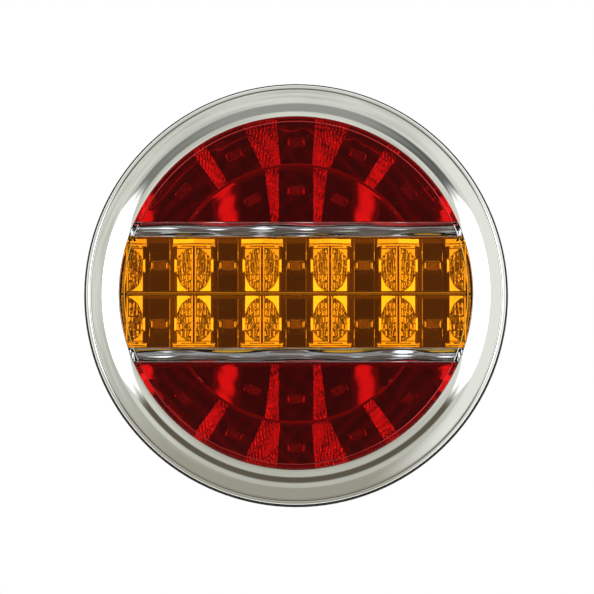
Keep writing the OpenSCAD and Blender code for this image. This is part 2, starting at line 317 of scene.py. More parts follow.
MATERIALS = {
    "housing_black": plastic("housing_black", (0.016, 0.016, 0.017), (0.026, 0.026, 0.028), 0.5),
    "gasket_foam": rubber("gasket_foam", (0.03, 0.03, 0.031), (0.06, 0.06, 0.06), 0.5),
    "grommet_rubber": rubber("grommet_rubber", (0.012, 0.012, 0.012), (0.022, 0.022, 0.022)),
    "seal_rubber": rubber("seal_rubber", (0.02, 0.02, 0.02), (0.035, 0.035, 0.035)),
    "zinc_steel": steel("zinc_steel", (0.5, 0.5, 0.48), (0.7, 0.7, 0.67), 0.3),
    "nut_steel": steel("nut_steel", (0.48, 0.48, 0.46), (0.68, 0.67, 0.64), 0.34),
    "washer_steel": steel("washer_steel", (0.55, 0.55, 0.53), (0.74, 0.74, 0.71), 0.28),
    "spring_steel": steel("spring_steel", (0.28, 0.28, 0.29), (0.45, 0.45, 0.46), 0.38),
    "screw_steel": steel("screw_steel", (0.5, 0.5, 0.48), (0.68, 0.68, 0.66), 0.3),
    "vent_grey": plastic("vent_grey", (0.09, 0.09, 0.1), (0.13, 0.13, 0.14), 0.55),
    "membrane_white": rubber("membrane_white", (0.7, 0.7, 0.7), (0.85, 0.85, 0.85), 0.4),
    "board_white": plastic("board_white", (0.72, 0.74, 0.71), (0.8, 0.82, 0.79), 0.45, 400.0),
    "potting_black": plastic("potting_black", (0.02, 0.02, 0.022), (0.035, 0.035, 0.04), 0.22, 200.0),
    "led_red_body": plastic(
        "led_red_body", (0.55, 0.50, 0.46), (0.70, 0.64, 0.58), 0.3, 1200.0, 0.05),
    "led_amber_body": plastic(
        "led_amber_body", (0.60, 0.42, 0.28), (0.74, 0.54, 0.36), 0.3, 1200.0, 0.05),
    "chip_black": plastic("chip_black", (0.03, 0.03, 0.03), (0.045, 0.045, 0.045), 0.5, 1500.0),
    "resistor_dark": plastic(
        "resistor_dark", (0.04, 0.04, 0.045), (0.06, 0.06, 0.065), 0.3, 1500.0),
    "capacitor_can": steel("capacitor_can", (0.6, 0.6, 0.61), (0.75, 0.75, 0.76), 0.25),
    "header_ivory": plastic("header_ivory", (0.7, 0.67, 0.58), (0.78, 0.75, 0.66), 0.5),
    "bezel_chrome": chrome(),
    "reflector_metal": metallised(),
    "lens_red": tinted_lens("lens_red", (0.66, 0.045, 0.05), (0.71, 0.055, 0.06)),
    "lens_amber": tinted_lens("lens_amber", (0.95, 0.52, 0.06), (0.98, 0.55, 0.08)),
    "lens_clear": tinted_lens("lens_clear", (0.90, 0.92, 0.96), (0.93, 0.95, 0.98)),
}


def dress_frame():
    """Gives every CAD node its slot's material."""
    slots = {s["node"]: s["material_slot"] for s in frame["record"]["subparts"]}
    for node, ob in frame["nodes"].items():
        ob.data.materials.clear()
        ob.data.materials.append(MATERIALS[slots[node]])


# ---- Mesh helpers ----

def piece(name, shapes, slot, node, crease):
    """A mesh object from closed shapes in mm, in the slot's material, in place of a CAD node."""
    mesh = bpy.data.meshes.new(name)
    mesh.from_pydata([at(*p) for p in shapes.points], [], shapes.faces)
    clean = bmesh.new()
    clean.from_mesh(mesh)
    bmesh.ops.remove_doubles(clean, verts=clean.verts, dist=1e-7)
    bmesh.ops.delete(clean, geom=[v for v in clean.verts if not v.link_faces], context="VERTS")
    bmesh.ops.recalc_face_normals(clean, faces=clean.faces)
    clean.to_mesh(mesh)
    clean.free()
    dress(bpy.data.objects.new(name, mesh), slot, node, crease)


def dress(ob, slot, node, crease):
    """Shades an object smooth up to the crease angle, and ties it to the lamp."""
    bpy.context.scene.collection.objects.link(ob)
    ob.data.shade_smooth()
    ob.data.set_sharp_from_angle(angle=math.radians(crease))
    ob.data.materials.append(MATERIALS[slot])
    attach(ob, ROOT)
    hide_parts(node)


def turned(profile, steps, start=0.0, end=360.0):
    """Points and faces of a closed (r, z) profile turned about the lamp's axis."""
    full = abs(end - start) >= 360.0
    count = steps if full else steps + 1
    points = []
    for i in range(count):
        a = math.radians(start + (end - start) * i / steps)
        points += [(r * math.cos(a), r * math.sin(a), z) for r, z in profile]
    n = len(profile)
    faces = []
    for i in range(steps):
        j = (i + 1) % count
        for k in range(n):
            m = (k + 1) % n
            faces.append((i * n + k, i * n + m, j * n + m, j * n + k))
    if not full:
        faces.append(tuple(range(n)))
        faces.append(tuple((count - 1) * n + k for k in range(n)))
    return points, faces


class Shapes:
    """Collects closed shapes that become one piece."""

    def __init__(self):
        self.points, self.faces = [], []

    def add(self, points, faces):
        base = len(self.points)
        self.points += points
        self.faces += [tuple(base + i for i in f) for f in faces]

    def slab(self, rows, keep, bottom):
        """A closed slab under a grid of top points. keep(i, j) says which cells are there."""
        wide = len(rows[0])
        top = [p for row in rows for p in row]
        count = len(top)
        points = top + [(x, y, bottom) for x, y, _ in top]
        faces, edges = [], {}
        for i in range(len(rows) - 1):
            for j in range(wide - 1):
                if not keep(i, j):
                    continue
                k = i * wide + j
                quad = (k, k + 1, k + wide + 1, k + wide)
                faces.append(quad)
                for a, b in zip(quad, quad[1:] + quad[:1]):
                    if (b, a) in edges:
                        del edges[(b, a)]
                    else:
                        edges[(a, b)] = True
        faces += [(b, a, count + a, count + b) for a, b in edges]
        loops = outlines(edges)
        flat = [k for line in loops for k in line]
        plans = [[Vector((*top[k][:2], 0.0)) for k in line] for line in loops]
        faces += [tuple(count + flat[k] for k in corner) for corner in tessellate_polygon(plans)]
        self.add(points, faces)

    def flipped(self):
        """The same shapes mirrored from the upper half to the lower."""
        mirror = Shapes()
        mirror.add([(x, -y, z) for x, y, z in self.points], self.faces)
        return mirror


def outlines(edges):
    """Closed loops of point numbers from directed edges."""
    after = {}
    for a, b in edges:
        after.setdefault(a, []).append(b)
    loops = []
    while after:
        k, line = next(iter(after)), []
        while k in after:
            line.append(k)
            following = after[k].pop()
            if not after[k]:
                del after[k]
            k = following
        loops.append(line)
    return loops


def stack(shapes, rings):
    """A closed shape through rings of points, with flat ends."""
    n = len(rings[0])
    last = (len(rings) - 1) * n
    faces = [tuple(range(n)), tuple(last + k for k in range(n))]
    for i in range(len(rings) - 1):
        for k in range(n):
            m = (k + 1) % n
            faces.append((i * n + k, i * n + m, (i + 1) * n + m, (i + 1) * n + k))
    shapes.add([p for ring in rings for p in ring], faces)


def loop(shapes, rings):
    """A closed shape with a hole through it: the last ring joins the first."""
    n = len(rings[0])
    faces = []
    for i in range(len(rings)):
        j = (i + 1) % len(rings)
        for k in range(n):
            m = (k + 1) % n
            faces.append((i * n + k, i * n + m, j * n + m, j * n + k))
    shapes.add([p for ring in rings for p in ring], faces)


def moved(ring, x, y, degrees=0.0):
    """A ring turned clockwise by an angle, then moved in the plan."""
    a = math.radians(degrees)
    c, s = math.cos(a), math.sin(a)
    return [(x + u * c + v * s, y - u * s + v * c, z) for u, v, z in ring]


def round_ring(r, z, count=LED_POINTS):
    """A circle of points. r may be a number or a function of the angle."""
    ring = []
    for k in range(count):
        a = 2 * math.pi * (k + 0.5) / count
        size = r(a) if callable(r) else r
        ring.append((size * math.cos(a), size * math.sin(a), z))
    return ring


def hexagon(across_flats, limit):
    """Radius of a hexagon at an angle, kept inside a circle to chamfer its corners."""
    def radius(a):
        sector = math.pi / 3
        return min(limit, across_flats / 2 / math.cos(a % sector - sector / 2))
    return radius


def tilt(degrees):
    """Rise per mm of a slope."""
    return math.tan(math.radians(degrees))


# ---- Bezel ----

def bezel_slope(r):
    """Slope of the ring's face in degrees: it flattens towards the dip, and steepens outside."""
    if r < BEZEL_DIP:
        return 8.5 + 12.5 * ((BEZEL_DIP - r) / (BEZEL_DIP - BEZEL_IN)) ** 1.5
    if r < BEZEL_SHOULDER:
        return 8.5 + 5.5 * (r - BEZEL_DIP) / (BEZEL_SHOULDER - BEZEL_DIP)
    return 24.0 + 30.0 * ((r - BEZEL_SHOULDER) / (BEZEL_FACE_END - BEZEL_SHOULDER)) ** 1.2


def bezel_section():
    """Section of the chromed ring: its face, a groove, the rolled rim, and back inside."""
    line = [(BEZEL_IN, CROWN - 4.0), (BEZEL_IN, CROWN - 0.1), (BEZEL_IN + 0.08, CROWN)]
    r, z = line[-1]
    step = 0.1
    while r < BEZEL_FACE_END:
        slope = bezel_slope(r)
        r += step
        z -= step * tilt(slope)
        line.append((r, z))
    line += [(r + 0.12, z - 0.45), (r + 0.3, z - 0.6), (r + 0.45, z - 0.55)]
    bead = BEZEL_R - r - 0.5
    for k in range(13):
        a = math.radians(-30 + k * 10)
        line.append((BEZEL_R - bead + bead * math.sin(a), z - 0.5 - bead + bead * math.cos(a)))
    line.append((BEZEL_R, BEZEL_BACK))
    line.append((BEZEL_R - 1.6, BEZEL_BACK))
    line.append((BEZEL_R - 2.2, z - 2.2))
    line.append((BEZEL_R - 5.0, CROWN - 3.2))
    line.append((BEZEL_IN + 1.6, CROWN - 2.0))
    line.append((BEZEL_IN + 1.2, CROWN - 4.0))
    return line


def make_bezel():
    ring = Shapes()
    ring.add(*turned(bezel_section(), 384))
    piece("bezel_ring", ring, "bezel_chrome", "chrome_bezel", 16.0)


# ---- Lens ----

def lens_section():
    """Section of the lens, from the front of its plate round the flange to the plate's back."""
    e = LENS_EDGE
    inner = LENS_R - LENS_WALL
    line = [(LENS_R - e + e * math.sin(a), LENS_FRONT - e + e * math.cos(a))
            for a in (math.radians(k * 7.5) for k in range(13))]
    line += [(LENS_R, FLANGE_BACK + FLANGE), (FLANGE_R, FLANGE_BACK + FLANGE)]
    line += [(FLANGE_R, FLANGE_BACK), (inner, FLANGE_BACK)]
    line += [(inner, LENS_BACK - 0.3), (inner - 0.3, LENS_BACK)]
    return line


def lens_shell():
    """The whole lens as one closed bmesh, in mm, looking into the lens."""
    section = lens_section()
    n = len(section)
    points, faces = turned(section, LENS_STEPS)
    faces = [f for f in faces if {f[0] % n, f[1] % n} != {0, n - 1}]
    front = len(points)
    back = front + 1
    points += [(0.0, 0.0, LENS_FRONT), (0.0, 0.0, LENS_BACK)]
    for i in range(LENS_STEPS):
        j = (i + 1) % LENS_STEPS
        faces.append((i * n, j * n, front))
        faces.append((i * n + n - 1, j * n + n - 1, back))
    shell = bmesh.new()
    vertices = [shell.verts.new(p) for p in points]
    for f in faces:
        shell.faces.new([vertices[i] for i in f])
    bmesh.ops.recalc_face_normals(shell, faces=shell.faces)
    return shell


def cut_flat(shell, y, keep_above):
    """Cuts the shell at a height and closes the cut."""
    found = bmesh.ops.bisect_plane(
        shell, geom=shell.verts[:] + shell.edges[:] + shell.faces[:], dist=1e-5,
        plane_co=(0, y, 0), plane_no=(0, 1 if keep_above else -1, 0), clear_inner=True)
    edges = [g for g in found["geom_cut"] if isinstance(g, bmesh.types.BMEdge)]
    bmesh.ops.triangle_fill(shell, use_beauty=True, use_dissolve=True, edges=edges)


def ease_cuts(shell, heights):
    """Rounds the front edges along the cuts, where the plate's face meets the cut."""
    def on_cut(e):
        return any(all(abs(v.co.y - y) < 1e-4 for v in e.verts) for y in heights)

    sharp = [e for e in shell.edges
             if len(e.link_faces) == 2 and on_cut(e) and e.calc_face_angle(0.0) > 0.8
             and min(v.co.z for v in e.verts) > LENS_FRONT - LENS_EDGE]
    bmesh.ops.bevel(
        shell, geom=sharp, offset=LENS_EDGE, segments=3, profile=0.5, affect="EDGES")


def lens_piece(name, low, high, slot, node):
    """The stretch of the lens between two heights. None leaves that side whole."""
    shell = lens_shell()
    if low is not None:
        cut_flat(shell, low, True)
    if high is not None:
        cut_flat(shell, high, False)
    ease_cuts(shell, [y for y in (low, high) if y is not None])
    for v in shell.verts:
        v.co = at(*v.co)
    bmesh.ops.recalc_face_normals(shell, faces=shell.faces)
    mesh = bpy.data.meshes.new(name)
    shell.to_mesh(mesh)
    shell.free()
    dress(bpy.data.objects.new(name, mesh), slot, node, 3.0)


def make_lenses():
    lens_piece("red_lens_top", BAR_TOP, None, "lens_red", "upper_red_lens")
    lens_piece("clear_bar_top", AMBER_HALF, BAR_TOP, "lens_clear", "upper_clear_bar")
    lens_piece("amber_lens_band", -AMBER_HALF, AMBER_HALF, "lens_amber", "amber_lens")
    lens_piece("clear_bar_bottom", -BAR_TOP, -AMBER_HALF, "lens_clear", "lower_clear_bar")
    lens_piece("red_lens_bottom", None, -BAR_TOP, "lens_red", "lower_red_lens")


# ---- Reflectors ----

def everywhere(i, j):
    """Keeps every cell of a slab's grid."""
    return True


def spaced(breaks, longest):
    """Grid lines through the break points, with no gap longer than the given one."""
    lines = [breaks[0]]
    for a, b in zip(breaks, breaks[1:]):
        n = max(1, math.ceil((b - a) / longest))
        lines += [a + (b - a) * (k + 1) / n for k in range(n)]
    return lines


def zigzag(value, period, rise):
    """A wave of straight slopes."""
    turn = value / period % 1.0
    return rise * (2 * turn if turn < 0.5 else 2 - 2 * turn)


def bowl_height(w, v, y):
    """Top of the raised block between two columns of amber LEDs. w runs from the edge of the
    dark floor to the ridge in the middle, v from the LED towards the middle rib, and y is the
    height on the lamp."""
    base = FLOOR + 0.1 + w * tilt(10)
    if w > BLOCK - RIDGE:
        return FLOOR + 1.1
    if w > BLOCK - RIDGE_FOOT and v > -6.0:
        return FLOOR + 0.95 + (w - BLOCK + RIDGE_FOOT) * tilt(15)
    if v < -BLOCK_END:
        return base + end_step(w, v)
    reach = BOWL_IN if v > 0 else BOWL_OUT
    if ((BLOCK - w) / BLOCK) ** 2 + (v / reach) ** 2 > 1.0:
        return FLOOR + 0.1 + w * tilt(17) if v > 2.0 else base + 0.04 * math.sin(v * 1.1)
    drift = 0.22 * math.sin(0.55 * v + 1.1 * w) + 0.25 * (v / reach) ** 2
    wander = 0.15 * math.sin(2.1 * w)
    return FLOOR + 0.35 + stroke(w + drift) + louvre(y + wander) + 0.02 * math.sin(1.3 * v + w)


def end_step(w, v):
    """Relief of the narrow step at the outer end of a block, over its sloping side."""
    band = (-BLOCK_END - v) / 2.8
    if band < 0.28:
        return (0.5 - 0.5 * w / BLOCK) * 0.5 - 0.1 * band
    return v * tilt(11) * 0.8 + 1.1


def stroke(w):
    """Rise of the upright strokes in a bowl: each swells sideways and steps sharply back."""
    turn = w / FLUTE % 1.0
    crest = 0.9
    top = FLUTE * crest / 2 * tilt(11)
    if turn < crest:
        return top * (turn / crest - math.sin(2 * math.pi * turn / crest) / (2 * math.pi))
    return top * (1.0 - turn) / (1.0 - crest)


def louvre(y):
    """Rise of the level steps that cross the strokes, each facing a little upwards."""
    turn = y / LOUVRE % 1.0
    crest = 0.85
    top = crest * LOUVRE * tilt(4.5)
    if turn < crest:
        return top * (1.0 - turn / crest)
    return top * (turn - crest) / (1.0 - crest)


def amber_height(u, v, y):
    """Height of an amber cell's reflector. u is the distance from the LED's column, v and y
    are as for the bowls."""
    if v < -BAND and u > BAND_IN:
        outermost = v < -BAND_STEP
        slope = 15.8 if outermost else 10
        return FLOOR + 0.1 + (u - BAND_IN) * tilt(slope) + (0.12 if outermost else 0.0)
    if u < GROOVE[0]:
        return FLOOR + (0.0 if v > 1.8 else 0.012 * abs(v))
    if u < GROOVE[1]:
        return FLOOR + 0.012 * abs(min(v, 0.0)) + (u - GROOVE[0]) * tilt(4.4)
    if u < CELL_FLOOR - 0.5:
        return FLOOR + 0.0192 + 0.03 * (u - GROOVE[1])
    if u < CELL_FLOOR + 0.35:
        near = abs(v) < 2.3 - 0.35 * abs(u - CELL_FLOOR)
        return FLOOR + 0.0627 + (u - CELL_FLOOR + 0.5) * tilt(17 if near else 2.5)
    return bowl_height(u - CELL_FLOOR, v, y)


def amber_columns(col):
    """Grid lines across an amber cell. The end cells reach on to the lens wall."""
    side = [0.0, LED_HOLE[0], *GROOVE, BAND_IN, CELL_FLOOR - 0.5, CELL_FLOOR + 0.36]
    side += [HALF_PITCH - 0.55, HALF_PITCH - 0.3, HALF_PITCH if abs(col) < 2 else HALF_PITCH + 1.9]
    right = side[-1] if col == 2 else HALF_PITCH
    left = side[-1] if col == -2 else HALF_PITCH
    xs = spaced(side, 0.15)
    mirrored = [-x for x in reversed(xs) if 0 < x <= left + 1e-6]
    return mirrored + [x for x in xs if x <= right + 1e-6]


def amber_cell(shapes, col, row):
    """The reflector of one amber LED. Its rows are counted away from the middle rib."""
    xs = amber_columns(col)
    top = AMBER_HALF - 0.5 - AMBER_ROW
    breaks = [-AMBER_ROW + 0.3, -LED_HOLE[1], LED_HOLE[1], BLOCK_END, 6.18, 6.94, top]
    ys = spaced(breaks, 0.42)
    rows = []
    for y in ys:
        place = row * (AMBER_ROW + y)
        rows.append([(col * AMBER_PITCH + x, place,
                      amber_height(min(abs(x), HALF_PITCH), -y, place)) for x in xs])

    def keep(i, j):
        x, y = (xs[j] + xs[j + 1]) / 2, (ys[i] + ys[i + 1]) / 2
        if math.hypot(col * AMBER_PITCH + x, AMBER_ROW + y) > CELL_EDGE:
            return False
        return not (abs(x) < LED_HOLE[0] and abs(y) < LED_HOLE[1])

    shapes.slab(rows, keep, BOARD_TOP)


def wall(shapes, x0, x1, y0, y1, low, high):
    """An upright wall with its top edges eased."""
    ease = (y1 - y0) * 0.28
    ys = [y0, y0 + ease, y1 - ease, y1]
    zs = [high - ease, high, high, high - ease]
    rows = [[(x, y, z) for x in (x0, (x0 + x1) / 2, x1)] for y, z in zip(ys, zs)]
    shapes.slab(rows, everywhere, low)


def window_ring(grow, z):
    """The rounded outline of an LED's window, grown by an amount."""
    cx, cy = WINDOW[0] - WINDOW_CORNER, WINDOW[1] - WINDOW_CORNER
    r = WINDOW_CORNER + grow
    ring = []
    for sx, sy in ((1, 1), (-1, 1), (-1, -1), (1, -1)):
        for k in range(5):
            turn = math.radians(k * 22.5)
            px, py = r * math.cos(turn), r * math.sin(turn)
            if sx * sy < 0:
                px, py = py, px
            ring.append((sx * (cx + px), sy * (cy + py), z))
    return ring


def lip(shapes, x, y, degrees):
    """The thin raised frame round an LED's window."""
    foot, low = FLOOR - 0.2, FLOOR + 0.05
    high = low + 0.030
    section = ((0.0, foot), (0.0, low), (-0.3, high), (-0.42, high), (-0.72, low), (-0.72, foot))
    loop(shapes, [moved(window_ring(grow, z), x, y, degrees) for grow, z in section])


def bar_slope(t):
    """Slope of the strip behind a clear bar, from its amber side to its red side."""
    if t < 0.07:
        return 24.0
    if t < 0.45:
        return 10.0 + 1.5 * math.sin(30 * t)
    if t < 0.70:
        return 10.0 - 20.0 * (t - 0.45) / 0.25
    return -10.5 if t < 0.94 else -24.0


def bar_strip(shapes, side):
    """The bright strip behind a clear bar: a shallow rounded moulding."""
    low, high = AMBER_HALF - 0.2, BAR_TOP + 0.3
    across, along = 44, 200
    rows, rise = [], 0.0
    for i in range(across + 1):
        t = i / across
        y = low + (high - low) * t
        rise += (high - low) / across * tilt(bar_slope(t))
        reach = math.sqrt(CELL_R ** 2 - y * y)
        row = []
        for j in range(along + 1):
            x = -reach + 2 * reach * j / along
            wave = 0.03 * math.sin(x * 0.62 + 0.4)
            row.append((x, side * y, BAR_Z - 1.0 + rise + wave + glints(x, t, side)))
        rows.append(row)
    shapes.slab(rows, everywhere, BAR_Z - 2.8)


def glints(x, t, side):
    """Long shallow waves that catch the side lights on the strip behind a clear bar."""
    swell = 0.55 * math.sin(0.2 * x + 2.4 + 0.5 * math.sin(0.07 * x * side) + 0.5 * t)
    step = max(0.0, min(1.0, (t - 0.16) / 0.22))
    streak = 0.125 * math.sin(0.17 * x + 0.9 * side) * step * step * (3 - 2 * step)
    return swell + streak


def glint_patch(shapes, end, side):
    """The fluted floor under the end of a clear bar, seen down the side wall of the lens."""
    low, high = AMBER_HALF, RED_CHORD
    start = 49.0
    across, along = 15, 39
    rows = []
    for i in range(across + 1):
        y = low + (high - low) * i / across
        row = []
        for j in range(along + 1):
            x = start + (math.sqrt(CELL_EDGE ** 2 - y * y) - start) * j / along
            z = FLOOR + 0.6 + (x - start) * tilt(12) + 0.02 * math.sin(5 * x)
            row.append((end * x, side * y, z))
        rows.append(row)
    shapes.slab(rows, everywhere, BOARD_TOP)


def middle_rib(shapes):
    """The round-topped rib between the two rows of amber cells."""
    half, foot = 0.8, CELL_TOP - 2.8
    reach = CELL_R - 0.2
    crest = [(half * math.sin(t), CELL_TOP - 3.7 + 1.7 * math.cos(t))
             for t in (math.radians(k * 5) for k in range(-9, 10))]
    crest = [(-half, foot)] + [(1.3 * y, z) for y, z in crest] + [(half, foot)]
    rows = [[(x, max(-half, min(half, y)), z) for x in (-reach, 0.0, reach)] for y, z in crest]
    shapes.slab(rows, everywhere, BOARD_TOP)


def amber_places():
    """Plan position of every amber LED."""
    return [(col * AMBER_PITCH, row * AMBER_ROW, 0.0) for col in range(-2, 3) for row in (-1, 1)]


def make_amber_reflector():
    shapes = Shapes()
    for col in range(-2, 3):
        for row in (-1, 1):
            amber_cell(shapes, col, row)
    for place in amber_places():
        lip(shapes, *place)
    middle_rib(shapes)
    reach = math.sqrt(CELL_R ** 2 - AMBER_HALF ** 2)
    for side in (-1, 1):
        edges = sorted((side * (AMBER_HALF - 0.5), side * (AMBER_HALF - 0.1)))
        wall(shapes, -reach, reach, *edges, BOARD_TOP, BAR_Z - 0.1)
        bar_strip(shapes, side)
        for end in (-1, 1):
            glint_patch(shapes, end, side)
    piece("amber_cells", shapes, "reflector_metal", "amber_reflector", 5.0)


def polar(r, degrees):
    """Plan point at a radius and an angle from straight up, positive to the right."""
    a = math.radians(degrees)
    return r * math.sin(a), r * math.cos(a)


def floor_height(x, y, unevenness=0.03):
    """The dark floor: flat but for faint hollows, and turned up at the wall of the lens."""
    blotch = math.sin(0.85 * x + 0.9 * math.sin(0.3 * y))
    blotch *= math.sin(0.8 * y + 0.7 * math.sin(0.37 * x))
    rim = max(0.0, math.hypot(x, y) - LENS_R + RIM)
    return FLOOR + unevenness * blotch + rim * tilt(10)


def fluted_height(x, y):
    """A bright wedge: fine upright flutes that wander a little."""
    wander = 0.30 * math.sin(0.75 * y + 0.5 * x) + 0.10 * math.sin(1.7 * y + 1.3 * x)
    broad = 0.05 * math.sin(0.9 * x + 0.4 * y)
    flute = zigzag(x + wander, 1.05, 0.135) + 0.03 * math.sin(2 * math.pi * (x + wander) / 0.52)
    return floor_height(x, y, 0.0) + 0.35 + flute + broad


def value(f, arg):
    """A number, or a function's value where a function is given."""
    return f(arg) if callable(f) else f


def in_hole(x, y, hole):
    """Whether a plan point lies in the hole for an LED."""
    cx, cy, degrees = hole
    a = math.radians(degrees)
    u = (x - cx) * math.cos(a) - (y - cy) * math.sin(a)
    v = (x - cx) * math.sin(a) + (y - cy) * math.cos(a)
    return abs(u) < LED_HOLE[0] and abs(v) < LED_HOLE[1]


def radial_grid(shapes, low, high, inner, outer, height, holes):
    """A slab between two angles and two radii, cut off at the straight edge of the red field.
    low and high are angles, and may be functions of the radius."""
    step = 0.3
    mid = 0.5 * (inner + outer)
    count_r = max(2, math.ceil((outer - inner) / step))
    span = abs(value(high, mid) - value(low, mid))
    count_a = max(2, math.ceil(math.radians(span) * mid / (step * 0.5)))
    rows = []
    for i in range(count_r + 1):
        r = inner + (outer - inner) * (i / count_r)
        a0, a1 = value(low, r), value(high, r)
        row = []
        for j in range(count_a + 1):
            x, y = polar(r, a0 + (a1 - a0) * j / count_a)
            row.append((x, y, height(x, y)))
        rows.append(row)

    def keep(i, j):
        corners = [rows[i + p][j + q] for p in (0, 1) for q in (0, 1)]
        x, y = sum(c[0] for c in corners) / 4, sum(c[1] for c in corners) / 4
        return y >= RED_CHORD and not any(in_hole(x, y, hole) for hole in holes)

    shapes.slab(rows, keep, BOARD_TOP)


def red_places():
    """Plan position and angle of every red LED of the upper half."""
    outer = [(*polar(OUTER_ARC, i * OUTER_STEP), i * OUTER_STEP) for i in range(-2, 3)]
    inner = [(*polar(INNER_ARC, i * INNER_STEP), i * INNER_STEP) for i in range(-1, 2)]
    return outer + inner


def angle_at(x, r):
    """Angle from straight up of the point at a radius that is x to the side of the middle."""
    return math.degrees(math.asin(x / r))


def near_out(r):
    """Side of the outer middle cell."""
    return angle_at(5.2 + (r - ARC_RIB) * 0.075, r)


def first_out(r):
    """Far side of the wedge next to the outer middle cell."""
    return 14.8 + (r - ARC_RIB) * 0.19


def near_in(r):
    """Side of the inner middle cell, straight up."""
    return angle_at(5.7, r)


def first_in(r):
    """Far side of the narrow wedge next to the inner middle cell."""
    return angle_at(8.1 + (r - 24.0) * 0.12, r)


def end_height(x, y):
    """Floor of the end cell, which curves up towards the end of the clear bar."""
    ramp = max(0.0, abs(x) - 44.0) * max(0.0, min(1.0, (34.0 - y) / 6.0))
    return floor_height(x, y) + 0.016 * ramp ** 2


def glow_height(x, y):
    """Floor of an inner side cell, with a soft rise that makes its bright patch."""
    up = y - 24.0
    middle, half = 22.4 + 0.12 * up, 5.2 + 0.08 * up
    along = max(-1.0, min(1.0, (abs(x) - middle) / half))
    return floor_height(x, y, 0.014) + 0.54 * (1.0 + math.sin(0.5 * math.pi * along))


def turned_to(side, f):
    """An angle on one side of the lamp, as a function of the radius."""
    return lambda r: side * value(f, r)


def arc_rib():
    """Points and faces of the curved rib between the two rings of red cells."""
    crest = CELL_TOP - 4.0
    half = ((0.45, crest - 0.16), (0.15, crest - 0.02))
    rib = [(ARC_RIB - 0.45, BOARD_TOP)] + [(ARC_RIB - x, z) for x, z in half]
    rib += [(ARC_RIB + x, z) for x, z in reversed(half)] + [(ARC_RIB + 0.45, BOARD_TOP)]
    bound = math.degrees(math.acos(RED_CHORD / ARC_RIB))
    return turned(rib, 128, 90 - bound, 90 + bound)


def red_half():
    """Upper reflector: dark cells with LED windows, and bright fluted wedges between them."""
    shapes = Shapes()
    rib_out, rib_in = ARC_RIB + 0.25, ARC_RIB - 0.25
    outer, inner = (rib_out, CELL_EDGE), (INNER_START, rib_in)
    holes = red_places()
    radial_grid(shapes, lambda r: -near_out(r), near_out, *outer, floor_height, holes)
    radial_grid(shapes, lambda r: -near_in(r), near_in, *inner, floor_height, holes)
    fields = [
        (near_out, first_out, outer, fluted_height),
        (first_out, 31.2, outer, floor_height),
        (31.2, 36.3, outer, fluted_height),
        (36.3, 68.0, outer, end_height),
        (near_in, first_in, inner, fluted_height),
        (first_in, 58.0, inner, glow_height),
    ]
    for side in (-1, 1):
        for low, high, radii, height in fields:
            radial_grid(shapes, turned_to(side, low), turned_to(side, high), *radii, height, holes)
    for place in holes:
        lip(shapes, *place)
    shapes.add(*arc_rib())
    reach = math.sqrt(CELL_R ** 2 - RED_CHORD ** 2)
    wall(shapes, -reach, reach, RED_CHORD - 0.5, RED_CHORD, BOARD_TOP, CELL_TOP - 0.4)
    return shapes


def make_red_reflectors():
    shapes = red_half()
    piece("red_cells_top", shapes, "reflector_metal", "upper_reflector", 5.0)
    piece("red_cells_bottom", shapes.flipped(), "reflector_metal", "lower_reflector", 5.0)


# ---- LEDs ----

def squarish(half_x, half_y, z):
    """A ring of points round a rectangle, one corner clipped as the polarity mark."""
    ring = []
    for k in range(LED_POINTS):
        a = 2 * math.pi * (k + 0.5) / LED_POINTS
        c, s = math.cos(a), math.sin(a)
        scale = 1.0 / max(abs(c), abs(s))
        x, y = half_x * c * scale, half_y * s * scale
        over = x / half_x + y / half_y - 2 + 0.45
        if over > 0:
            x -= half_x * over / 2
            y -= half_y * over / 2
        ring.append((x, y, z))
    return ring


def led(shapes, x, y, degrees):
    """A surface-mount LED: body with a conical cup, and the domed filling of the cup."""
    top = LED_TOP - 0.3
    half, eased = (1.75, 1.4), (1.65, 1.3)
    cup = 0.95
    body = [squarish(*half, BOARD_TOP), squarish(*half, top - 0.12), squarish(*eased, top),
            round_ring(1.18, top), round_ring(cup, top - 0.35)]
    dome = [round_ring(1.08 * math.cos(t), top - 0.15 + 0.45 * math.sin(t))
            for t in (math.radians(k * 14) for k in range(7))]
    for rings in (body, [round_ring(cup, top - 0.3)] + dome):
        stack(shapes, [moved(ring, x, y, degrees) for ring in rings])


def led_set(places):
    shapes = Shapes()
    for place in places:
        led(shapes, *place)
    return shapes


def make_leds():
    piece("amber_led_set", led_set(amber_places()), "led_amber_body", "amber_leds", 30.0)
    red = led_set(red_places())
    piece("red_led_set_top", red, "led_red_body", "upper_red_leds", 30.0)
    piece("red_led_set_bottom", red.flipped(), "led_red_body", "lower_red_leds", 30.0)


# ---- Fixings ----

def thread_radius(z, low, high):
    """Radius of a screw thread at a height, as a function of the angle, fading at its ends."""
    run_out = 0.9

    def radius(a):
        turn = (z / THREAD_PITCH + a / (2 * math.pi)) % 1.0
        rise = max(0.0, min(1.0, 1.35 - abs(turn - 0.5) * 3.4))
        fade = min(1.0, (z - low) / run_out, (high - z) / run_out)
        return THREAD_ROOT + THREAD_DEPTH * rise * max(0.0, fade)
    return radius


def stud(shapes, x, y):
    """A press-in stud: hexagonal head and neck inside its boss, and a threaded shank."""
    low, high = STUD_END + 0.4, SHANK_END
    neck, collar, flats = 2.45, 2.95, 9.8
    steps = round((high - low) / THREAD_PITCH * 10)
    outline = [(1.5, STUD_END), (2.0, low)]
    for k in range(1, steps):
        z = low + (high - low) * k / steps
        outline.append((thread_radius(z, low, high), z))
    outline += [(THREAD_ROOT, high - 0.02), (neck, high), (neck, 0.6), (collar, 0.7)]
    outline += [(collar, STUD_HEAD - 2.2), (hexagon(flats, 5.3), STUD_HEAD - 2.1)]
    outline.append((hexagon(flats, 5.6), STUD_HEAD))
    stack(shapes, [moved(round_ring(r, z, 60), x, y) for r, z in outline])


